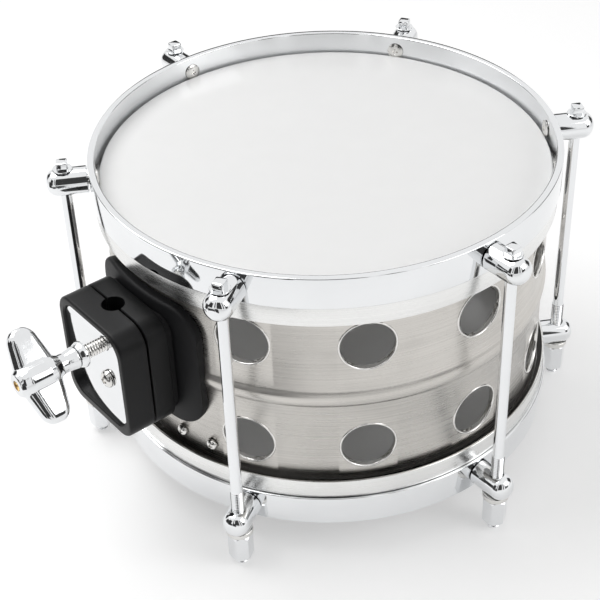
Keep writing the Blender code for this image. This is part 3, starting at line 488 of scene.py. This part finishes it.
def make_heads():
    """White films, their flesh hoops and the dark resin in the hoops' channels, its black carried out into the open
    gap as painted shade.
    """
    for name, face, seat, up in (("batter", BATTER_FACE, BATTER_SEAT, 1), ("resonant", RESONANT_FACE, RESONANT_SEAT, -1)):
        collar_end = seat - up * 0.0052
        top = softened([(0.06, face), (FILM_OUTER, face), (FILM_OUTER, collar_end)], 0.0013, 5, False)
        under = softened(
            [(FILM_INNER, collar_end), (FILM_INNER, face - up * FILM_THICKNESS), (0.06, face - up * FILM_THICKNESS)],
            0.0012, 5, False)
        film = lathe(name + "_head", [(0.0, face)] + top + under + [(0.0, face - up * FILM_THICKNESS)], ROUND)
        piece(name + "_head", film, "film", "drum", [name + "_film"], DRUM)
        section = [
            (FLESH_INNER, seat), (FLESH_OUTER, seat), (FLESH_OUTER, seat - up * 0.0092),
            (FLESH_OUTER - 0.0010, seat - up * 0.0092), (FLESH_OUTER - 0.0010, seat - up * 0.0025),
            (FLESH_INNER + 0.0007, seat - up * 0.0025), (FLESH_INNER + 0.0007, seat - up * 0.0052),
            (FLESH_INNER, seat - up * 0.0052),
        ]
        ring = lathe(name + "_channel", softened(section, 0.00035, 3), ROUND)
        piece(name + "_channel", ring, "turned", "drum", [name + "_flesh_hoop"], DRUM)
        # Resin in the channel, run out under the inner lip to the film's collar so the open gap shows black: the resin
        # is real, its black in that gap is painted shade.
        resin_and_painted_shade = [
            (FLESH_INNER + 0.0008, seat - up * 0.0026), (FLESH_OUTER - 0.0011, seat - up * 0.0026),
            (FLESH_OUTER - 0.0011, seat - up * 0.0068), (FILM_OUTER + 0.0001, seat - up * 0.0064),
            (FILM_OUTER + 0.0001, seat - up * 0.0054), (FLESH_INNER + 0.0008, seat - up * 0.0054),
        ]
        filler = lathe(name + "_resin_and_painted_shade", resin_and_painted_shade, ROUND)
        piece(name + "_resin_and_painted_shade", filler, "resin_and_painted_shade", "drum", (), DRUM)


def make_hoops():
    """Chromed bands with softened edges."""
    for name, middle in (("top", TOP_LUG_HEIGHT), ("bottom", BOTTOM_LUG_HEIGHT)):
        low = middle - HOOP_HEIGHT / 2
        high = middle + HOOP_HEIGHT / 2
        section = softened(
            [(HOOP_INNER, low), (HOOP_OUTER, low), (HOOP_OUTER, high), (HOOP_INNER, high)], 0.0006, 4)
        band = lathe(name + "_band", section, ROUND)
        piece(name + "_band", band, "chrome", "drum", [name + "_hoop"], DRUM)


def make_lugs():
    """Domed lugs with countersunk or spot-faced rod holes, and their screws."""
    dome = LUG_OUTER_END - LUG_END_RADIUS
    flat = LUG_RADIUS - LUG_END_RADIUS
    profile = [(0.0, LUG_INNER_END), (LUG_RADIUS - 0.0004, LUG_INNER_END), (LUG_RADIUS, LUG_INNER_END + 0.0004)]
    for step in range(11):
        angle = step / 10 * pi / 2
        profile.append((flat + LUG_END_RADIUS * cos(angle), dome + LUG_END_RADIUS * sin(angle)))
    profile.append((0.0, LUG_OUTER_END))
    upright = Matrix.Translation((0.0, 0.0, ROD_CIRCLE)) @ Matrix.Rotation(-pi / 2, 4, "Y")
    clear = ROD_RADIUS + SEAT_GAP
    thread_clear = THREAD_RADIUS + SEAT_GAP
    reach = LUG_RADIUS + 0.001
    top_bore = [(0.0, -reach), (clear, -reach), (clear, LUG_RADIUS - 0.0026), (0.0053, reach), (0.0, reach)]
    seat = SPOT_FACE_HEIGHT - BOTTOM_LUG_HEIGHT
    spot = WASHER_RADIUS + SEAT_GAP
    low_bore = [(0.0, -reach), (spot, -reach), (spot, seat), (thread_clear, seat), (thread_clear, reach), (0.0, reach)]
    screw_profile = [
        (0.0, HOOP_INNER - 0.0013), (0.0020, HOOP_INNER - 0.00125), (0.0032, HOOP_INNER - 0.0010),
        (0.0040, HOOP_INNER - 0.0005), (0.0040, HOOP_INNER - 0.0003), (0.0023, HOOP_INNER - 0.0003),
        (0.0023, HOOP_INNER + 0.0089), (0.0, HOOP_INNER + 0.0089),
    ]
    turned = Matrix.Translation((0.0, 0.0, 2 * HOOP_INNER - 0.0026)) @ Matrix.Rotation(pi, 4, "Y")
    recess = []
    for cutter in cross_recess(0.0034, 0.0008, HOOP_INNER - 0.0013, 0.0007):
        cutter.transform(turned)
        recess.append(cutter)
    screw = carve("lug_screw_skin", lathe("lug_screw_skin", screw_profile, SMALL), (), recess)
    for level, height, bore in (("top", TOP_LUG_HEIGHT, top_bore), ("bottom", BOTTOM_LUG_HEIGHT, low_bore)):
        blank = lathe(level + "_lug_skin", profile, FINE)
        lug = carve(level + "_lug_skin", blank, (), [lathe("bore", bore, FINE, upright)])
        for index in range(ROD_COUNT):
            number = str(index + 1)
            matrix = radial(rod_angle(index), height)
            name = level + "_lug_skin_" + number
            piece(name, lug, "chrome", "drum", [level + "_lug_" + number], matrix)
            name = level + "_lug_screw_skin_" + number
            piece(name, screw, "plated", "drum", [level + "_lug_screw_" + number], matrix)


def make_rods():
    """Tension rods with their key heads and threads, and their nuts and washers."""
    crown = TOP_LUG_HEIGHT + LUG_RADIUS + SEAT_GAP
    rim = crown + 0.0004
    profile = [(0.0, 0.0), (ROD_RADIUS - 0.0004, 0.0)]
    profile += threaded(ROD_RADIUS - 0.0001, THREAD_RADIUS, 0.0004, THREAD_LENGTH, 0.0010)
    profile += [
        (ROD_RADIUS, THREAD_LENGTH), (ROD_RADIUS, crown - 0.0026), (0.0043, crown - 0.0001),
        (0.0044, crown + 0.0001), (0.0044, rim - 0.0001), (0.0043, rim), (0.0, rim),
    ]
    layers = []
    for inset, height in ((0.0, crown), (0.0, ROD_TOP - 0.0006), (0.0002, ROD_TOP - 0.0002), (0.0006, ROD_TOP)):
        points = outline(0.0052 - 2 * inset, 0.0052 - 2 * inset, 0.0007, 3)
        layers.append([(x, y, height) for x, y in points])
    rod = carve("rod_skin", lathe("rod_skin", profile, SMALL), [loft("key", layers)])
    corner = NUT_WIDTH / 2 / cos(pi / 6)
    cone = [
        (0.0, NUT_BOTTOM), (NUT_WIDTH / 2 - 0.0006, NUT_BOTTOM), (corner + 0.0002, NUT_BOTTOM + 0.0014),
        (corner + 0.0002, NUT_TOP - 0.0008), (NUT_WIDTH / 2, NUT_TOP), (0.0, NUT_TOP),
    ]
    nut = carve(
        "nut_skin", lathe("nut_skin", bar(corner, NUT_BOTTOM, NUT_TOP), 6), (),
        [lathe("bore", bar(THREAD_RADIUS + SEAT_GAP, NUT_BOTTOM - 0.001, NUT_TOP + 0.001), FINE)],
        [lathe("cone", cone, FINE)], radians(22))
    bore = THREAD_RADIUS + SEAT_GAP
    ring = softened([
        (bore, WASHER_BOTTOM), (WASHER_RADIUS - 0.0008, WASHER_BOTTOM),
        (WASHER_RADIUS, WASHER_BOTTOM + 0.0009), (WASHER_RADIUS, WASHER_TOP), (bore, WASHER_TOP),
    ], 0.0003, 3)
    washer = lathe("washer_skin", ring, FINE)
    for index in range(ROD_COUNT):
        angle = rod_angle(index)
        number = str(index + 1)
        place = DRUM @ Matrix.Translation((ROD_CIRCLE * cos(angle), ROD_CIRCLE * sin(angle), 0.0))
        matrix = place @ Matrix.Rotation(angle, 4, "Z")
        piece("rod_skin_" + number, rod, "chrome", "drum", ["tension_rod_" + number], matrix)
        piece("nut_skin_" + number, nut, "chrome", "nut_" + number,
              ["tuning_nut_" + number], matrix)
        piece("washer_skin_" + number, washer, "plated", "washer_" + number,
              ["nut_washer_" + number], matrix)


def curved_plate(name, width, height, corner, inner, thickness, bevel, steps):
    """Plate with round corners and rounded outer edges, bent round the drum's axis."""
    bm = bmesh.new()
    rings = []
    section = []
    for step in range(5):
        angle = step / 4 * pi / 2
        section.append((thickness - bevel + bevel * sin(angle), bevel * (1 - cos(angle))))
    for step in range(steps + 1):
        arc = -cos(pi * step / steps) * width / 2
        overrun = max(abs(arc) - (width / 2 - corner), 0.0)
        inset = corner - sqrt(max(corner**2 - overrun**2, 0.0))
        half = height / 2 - min(inset, corner - bevel)
        angle = CLAMP_ANGLE + arc / inner
        points = [(inner, -half)] + [(inner + out, -half + drop) for out, drop in section]
        points += [(inner + out, half - drop) for out, drop in reversed(section)] + [(inner, half)]
        rings.append([bm.verts.new((r * cos(angle), r * sin(angle), CLAMP_HEIGHT + z)) for r, z in points])
    for first, second in zip(rings, rings[1:]):
        for index in range(len(first)):
            after = (index + 1) % len(first)
            bm.faces.new((first[index], first[after], second[after], second[index]))
    bm.faces.new(list(reversed(rings[0])))
    bm.faces.new(rings[-1])
    return finish_mesh(name, bm)


def make_clamp():
    """Rubber gasket, the two jaws, the bright face plate and its screw."""
    plate = curved_plate("gasket_skin", 0.0690, 0.0640, 0.0150, SHELL_RADIUS + SEAT_GAP, 0.0042, 0.0016, 48)
    half = BEAD_WIDTH / 2 + SEAT_GAP
    relief = [(SHELL_RADIUS - 0.001, SHELL_MIDDLE - half), (SHELL_RADIUS + SEAT_GAP, SHELL_MIDDLE - half)]
    relief += [(SHELL_RADIUS + SEAT_GAP + BEAD_HEIGHT, SHELL_MIDDLE)]
    relief += [(SHELL_RADIUS + SEAT_GAP, SHELL_MIDDLE + half), (SHELL_RADIUS - 0.001, SHELL_MIDDLE + half)]
    bolt = clamp(*WING_PLACE)
    stud_way = bar(WING_BOLT_RADIUS + SEAT_GAP, SHELL_RADIUS - 0.001, CLAMP_BACK + 0.001)
    gasket = carve("gasket_skin", plate, (), [
        lathe("relief", relief, ROUND), lathe("stud_way", stud_way, SMALL, DRUM.inverted() @ bolt),
    ])
    piece("gasket_skin", gasket, "rubber", "drum", ["clamp_gasket"], DRUM)

    post = lathe("post", bar(POST_HOLE_RADIUS, -0.04, 0.04), FINE,
                 Matrix.Translation((DRUM_X - SPLIT_PLANE, 0.0, CLAMP_HEIGHT)))
    start = 0.1015
    stations = [(start, NECK_INSET), (CLAMP_NECK_END, NECK_INSET)]
    for step in range(4):
        angle = step / 3 * pi / 2
        stations.append((CLAMP_NECK_END + 0.0002 + 0.0006 * (1 - cos(angle)), 0.0006 * (1 - sin(angle))))
    stations += [(REAR_SPLIT - 0.0003, 0.0), (REAR_SPLIT, 0.0003)]
    rear = carve(
        "rear_jaw_skin",
        loft("rear_jaw_skin", clamp_layers(stations, BLOCK_WIDTH, BLOCK_HEIGHT, BLOCK_CORNER)), (),
        [
            lathe("curve", bar(CLAMP_BACK, 0.05, 0.14), ROUND, DRUM),
            post,
            lathe("bolt_bore", bar(WING_BOLT_RADIUS + SEAT_GAP, 0.09, REAR_SPLIT + 0.001), SMALL, bolt),
        ])
    piece("rear_jaw_skin", rear, "moulding", "drum", ["rear_jaw"])

    stations = [(FRONT_SPLIT, 0.0003)] + rolled(FRONT_SPLIT + 0.0003, CLAMP_FACE, 0.0012)
    pocket = clamp_layers(
        ((PLATE_BACK - SEAT_GAP, -SEAT_GAP), (PLATE_FACE, -SEAT_GAP), (CLAMP_FACE - 0.0004, -0.0005),
         (CLAMP_FACE + 0.0004, -0.0014)),
        PLATE_WIDTH, PLATE_HEIGHT, PLATE_CORNER, PLATE_RISE)
    post = lathe("post", bar(POST_HOLE_RADIUS, -0.04, 0.04), FINE,
                 Matrix.Translation((DRUM_X - SPLIT_PLANE, 0.0, CLAMP_HEIGHT)))
    screw_place = clamp(*PLATE_SCREW_PLACE)
    front = carve(
        "front_jaw_skin",
        loft("front_jaw_skin", clamp_layers(stations, BLOCK_WIDTH, BLOCK_HEIGHT, BLOCK_CORNER)), (),
        [
            loft("pocket", pocket),
            post,
            lathe("bolt_bore", bar(WING_BOLT_RADIUS + SEAT_GAP, 0.11, PLATE_BACK), SMALL, bolt),
            lathe("screw_bore", bar(PLATE_SCREW_RADIUS + SEAT_GAP, 0.1212, PLATE_BACK), SMALL, screw_place),
        ])
    piece("front_jaw_skin", front, "moulding", "front_clamp", ["front_jaw"])

    layers = clamp_layers(
        ((PLATE_BACK, 0.0), (PLATE_FACE - 0.0003, 0.0), (PLATE_FACE - 0.0001, 0.0001), (PLATE_FACE, 0.0003)),
        PLATE_WIDTH, PLATE_HEIGHT, PLATE_CORNER, PLATE_RISE)
    cover = carve("face_plate_skin", loft("face_plate_skin", layers), (), [
        lathe("bolt_bore", bar(WING_BOLT_RADIUS + SEAT_GAP, 0.12, 0.14), FINE, bolt),
        lathe("screw_bore", bar(PLATE_SCREW_RADIUS + SEAT_GAP, 0.12, 0.14), FINE, screw_place),
    ])
    piece("face_plate_skin", cover, "chrome", "front_clamp", ["face_plate"])

    seat = PLATE_FACE + SEAT_GAP
    profile = [(0.0, seat - 0.0085), (PLATE_SCREW_RADIUS, seat - 0.0085), (PLATE_SCREW_RADIUS, seat), (0.0040, seat)]
    for step in range(7):
        angle = step / 6 * pi / 2
        profile.append((0.0040 * cos(angle) if step < 6 else 0.0, seat + 0.0006 + 0.0024 * sin(angle)))
    screw = carve("plate_screw_skin", lathe("plate_screw_skin", profile, SMALL), (),
                  cross_recess(0.0048, 0.0011, seat + 0.0030, 0.0018))
    piece("plate_screw_skin", screw, "plated", "front_clamp", ["plate_screw"], screw_place)


def wing_blade(side):
    """One full-bodied wing of the handle, rounded at its tip."""
    middle = (WING_HUB_START + WING_HUB_END) / 2
    layers = []
    for step in range(13):
        distance = WING_ROOT + (WING_REACH - WING_ROOT) * sin(step / 12 * pi / 2)
        share = distance / WING_REACH
        rounding = max(distance - WING_REACH + WING_TIP_ROUNDING, 0.0) / WING_TIP_ROUNDING
        tip = sqrt(max(1 - rounding**2, 0.0016))
        thick = (WING_THICKNESS + (WING_TIP_THICKNESS - WING_THICKNESS) * share) * (0.45 + 0.55 * tip)
        wide = (WING_WIDTH + (WING_TIP_WIDTH - WING_WIDTH) * share) * (0.3 + 0.7 * tip)
        points = outline(thick, wide, min(thick, wide) * 0.46, 5)
        layers.append([(x, side * distance, middle + z) for x, z in points])
    return loft("wing_blade", layers)


def make_wing_bolt():
    """Threaded stud, cup washer and cast wing handle with its brass-lined bore."""
    matrix = clamp(*WING_PLACE)
    stud_profile = [(0.0, WING_BOLT_INNER_END), (0.0024, WING_BOLT_INNER_END)]
    stud_profile += threaded(0.00275, WING_BOLT_RADIUS, WING_BOLT_INNER_END + 0.0004, WING_BOLT_OUTER_END - 0.0005, 0.00127)
    stud_profile += [(0.0028, WING_BOLT_OUTER_END), (0.0, WING_BOLT_OUTER_END)]
    stud = lathe("wing_stud_skin", stud_profile, SMALL)
    piece("wing_stud_skin", stud, "plated", "wing_bolt", ["wing_stud"], matrix)
    bore = WING_BOLT_RADIUS + SEAT_GAP
    ring = softened([
        (bore, WING_WASHER_START), (0.0058, WING_WASHER_START), (0.0058, WING_WASHER_START + 0.0014),
        (0.0049, WING_WASHER_END), (bore, WING_WASHER_END),
    ], 0.0004, 4)
    piece("wing_washer_skin", lathe("wing_washer_skin", ring, FINE), "chrome", "bolt_washer",
          ["wing_washer"], matrix)
    profile = [(0.0, WING_NECK_START), (0.0050, WING_NECK_START), (0.0046, WING_NECK_START + 0.0025)]
    profile += [(0.0043, WING_NECK_START + 0.0055), (0.0045, WING_HUB_START), (0.0062, WING_HUB_START + 0.0030)]
    profile += [(0.0070, WING_HUB_START + 0.0060), (0.0070, WING_HUB_END - 0.0050), (0.0062, WING_HUB_END - 0.0018)]
    profile += [(0.0050, WING_HUB_END), (0.0, WING_HUB_END)]
    body = lathe("wing_skin", profile, FINE)
    blank = link("wing_blank", carve("wing_skin", body, [wing_blade(-1), wing_blade(1)]))
    remesh = blank.modifiers.new("remesh", "REMESH")
    remesh.mode = "VOXEL"
    remesh.voxel_size = 0.0003
    smooth = blank.modifiers.new("smooth", "SMOOTH")
    smooth.factor = 0.5
    smooth.iterations = 8
    cast = applied("wing_skin", blank)
    seat_end = WING_BOLT_OUTER_END + SEAT_GAP
    cast = carve("wing_skin", cast, (), [
        lathe("seat", bar(bore, WING_NECK_START - 0.001, seat_end), FINE),
        lathe("mouth", [(0.0, WING_HUB_END - 0.0030), (0.0024, WING_HUB_END - 0.0030), (0.0024, WING_HUB_END + 0.001),
                        (0.0, WING_HUB_END + 0.001)], FINE),
    ], angle=radians(50))
    turned = matrix @ Matrix.Rotation(WING_ANGLE, 4, "Z")
    piece("wing_skin", cast, "cast_chrome", "wing_bolt", ["wing_handle"], turned)
    sleeve = softened([
        (0.0015, WING_HUB_END - 0.0029), (0.0023, WING_HUB_END - 0.0029), (0.0023, WING_HUB_END - 0.0006),
        (0.0018, WING_HUB_END - 0.0006),
    ], 0.0002, 2)
    piece("wing_bore_sleeve", lathe("wing_bore_sleeve", sleeve, FINE), "brass", "wing_bolt",
          (), turned)


def make_backing():
    """Plated backing plate inside the shell, and its two screws below the gasket."""
    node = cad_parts["backing_plate"]
    node.data.materials.clear()
    node.data.materials.append(MATERIALS["plated"])
    seat = SHELL_RADIUS + SEAT_GAP
    profile = [(0.0, seat - 0.0045), (0.00145, seat - 0.0045), (0.00145, seat), (0.0028, seat)]
    for step in range(6):
        angle = step / 5 * pi / 2
        profile.append((0.0028 * cos(angle) if step < 5 else 0.0, seat + 0.0005 + 0.0016 * sin(angle)))
    screw = carve("backing_screw_skin", lathe("backing_screw_skin", profile, SMALL), (),
                  cross_recess(0.0030, 0.0007, seat + 0.0021, 0.0010))
    for number, angle in enumerate(PLATE_BOLT_ANGLES, start=1):
        piece("backing_screw_skin_" + str(number), screw, "plated", "drum",
              ["backing_screw_" + str(number)], radial(angle, PLATE_BOLT_HEIGHT))


def seen_white(nodes, links, strength):
    """Emission that only camera, glossy and transmission rays see."""
    path = nodes.new("ShaderNodeLightPath")
    first = nodes.new("ShaderNodeMath")
    first.operation = "MAXIMUM"
    links.new(path.outputs["Is Camera Ray"], first.inputs[0])
    links.new(path.outputs["Is Glossy Ray"], first.inputs[1])
    second = nodes.new("ShaderNodeMath")
    second.operation = "MAXIMUM"
    links.new(first.outputs["Value"], second.inputs[0])
    links.new(path.outputs["Is Transmission Ray"], second.inputs[1])
    scaled = nodes.new("ShaderNodeMath")
    scaled.operation = "MULTIPLY"
    scaled.inputs[1].default_value = strength
    links.new(second.outputs["Value"], scaled.inputs[0])
    return scaled, second


# Dark flags round the set: middle direction and spread in degrees, low and high edge in metres

FLAG_DISTANCE = 1.6
FLAGS = ((-129, 34, 0.25, 2.2), (-75, 22, 0.1, 1.1), (175, 26, 0.1, 1.2), (115, 24, 0.1, 0.9),
         (52, 40, 0.1, 0.8), (-15, 30, 0.1, 1.0), (-158, 7, 0.3, 2.0), (-100, 8, 0.2, 2.0), (-146, 4, 0.1, 1.6))
# The same, close to the clamp, for the streaks in its bright pieces
NEAR_DISTANCE = 0.42
NEAR_FLAGS = ((-172, 26, 0.0, 0.09), (-150, 16, 0.0, 0.14), (162, 22, 0.02, 0.20))


def make_studio():
    """White floor that keeps the shadow, white surroundings, dark flags and two soft lamps."""
    mesh = bpy.data.meshes.new("floor")
    half = 3.0
    corners = [(-half, -half, 0.0), (half, -half, 0.0), (half, half, 0.0), (-half, half, 0.0)]
    mesh.from_pydata(corners, [], [(0, 1, 2, 3)])
    floor = link("floor", mesh)
    material = bpy.data.materials.new("studio_floor")
    material.use_nodes = True
    nodes = material.node_tree.nodes
    links = material.node_tree.links
    shader = nodes["Principled BSDF"]
    shader.inputs["Base Color"].default_value = (0.80, 0.80, 0.80, 1.0)
    shader.inputs["Roughness"].default_value = 0.9
    shader.inputs["Specular IOR Level"].default_value = 0.1
    shader.inputs["Emission Color"].default_value = (1.0, 1.0, 1.0, 1.0)
    scaled, _ = seen_white(nodes, links, 0.34)
    links.new(scaled.outputs["Value"], shader.inputs["Emission Strength"])
    mesh.materials.append(material)
    world = bpy.data.worlds.new("studio")
    bpy.context.scene.world = world
    world.use_nodes = True
    nodes = world.node_tree.nodes
    links = world.node_tree.links
    background = nodes["Background"]
    background.inputs["Color"].default_value = (1.0, 1.0, 1.0, 1.0)
    _, seen = seen_white(nodes, links, 1.0)
    level = nodes.new("ShaderNodeMapRange")
    level.inputs["To Min"].default_value = 0.42
    level.inputs["To Max"].default_value = 1.0
    links.new(seen.outputs["Value"], level.inputs["Value"])
    links.new(level.outputs["Result"], background.inputs["Strength"])
    dark = bpy.data.materials.new("studio_flag")
    dark.use_nodes = True
    dark.node_tree.nodes["Principled BSDF"].inputs["Base Color"].default_value = (0.02, 0.02, 0.02, 1.0)
    flags = [(FLAG_DISTANCE, *flag) for flag in FLAGS] + [(NEAR_DISTANCE, *flag) for flag in NEAR_FLAGS]
    for number, (distance, middle, spread, low, high) in enumerate(flags, start=1):
        mesh = bpy.data.meshes.new("flag_" + str(number))
        corners = []
        for turn in (-0.5, 0.5):
            angle = radians(middle + turn * spread)
            corners.append((DRUM_X + distance * cos(angle), distance * sin(angle)))
        (ax, ay), (bx, by) = corners
        mesh.from_pydata([(ax, ay, low), (bx, by, low), (bx, by, high), (ax, ay, high)], [], [(0, 1, 2, 3)])
        mesh.materials.append(dark)
        flag = link("flag_" + str(number), mesh)
        flag.visible_camera = False
        flag.visible_diffuse = False
        flag.visible_shadow = False
    for name, place, size, energy in (
        ("key_lamp", (-0.27, 0.46, 1.0), 0.8, 7.0),
        ("fill_lamp", (0.45, -0.85, 0.65), 0.6, 2.6),
    ):
        data = bpy.data.lights.new(name, "AREA")
        data.size = size
        data.energy = energy
        lamp = link(name, data)
        lamp.location = place
        aim = Vector((DRUM_X, 0.0, 0.08)) - Vector(place)
        lamp.rotation_euler = aim.to_track_quat("-Z", "Y").to_euler()


def make_camera():
    """Camera solved from the photograph: 37 degrees above the floor, off the clamp's side."""
    yaw, pitch, roll = -0.02512, -0.65162, -0.03984
    forward = Vector((sin(yaw) * cos(pitch), cos(yaw) * cos(pitch), sin(pitch)))
    right = Vector((cos(yaw), -sin(yaw), 0.0))
    up = right.cross(forward)
    leaning_right = right * cos(roll) + up * sin(roll)
    leaning_up = up * cos(roll) - right * sin(roll)
    turn = Matrix((leaning_right, leaning_up, -forward)).transposed().to_4x4()
    orbit = Matrix.Rotation(radians(-39.0), 4, "Z")
    place = Matrix.Translation((0.0, -0.55145, 0.48436))
    data = bpy.data.cameras.new("camera")
    data.lens = 85.28
    data.sensor_width = 36.0
    camera = link("camera", data)
    camera.matrix_world = DRUM @ orbit @ place @ turn
    bpy.context.scene.camera = camera


make_shell()
make_heads()
make_hoops()
make_lugs()
make_rods()
make_clamp()
make_wing_bolt()
make_backing()
make_studio()
make_camera()
bpy.context.scene.view_settings.view_transform = "Standard"
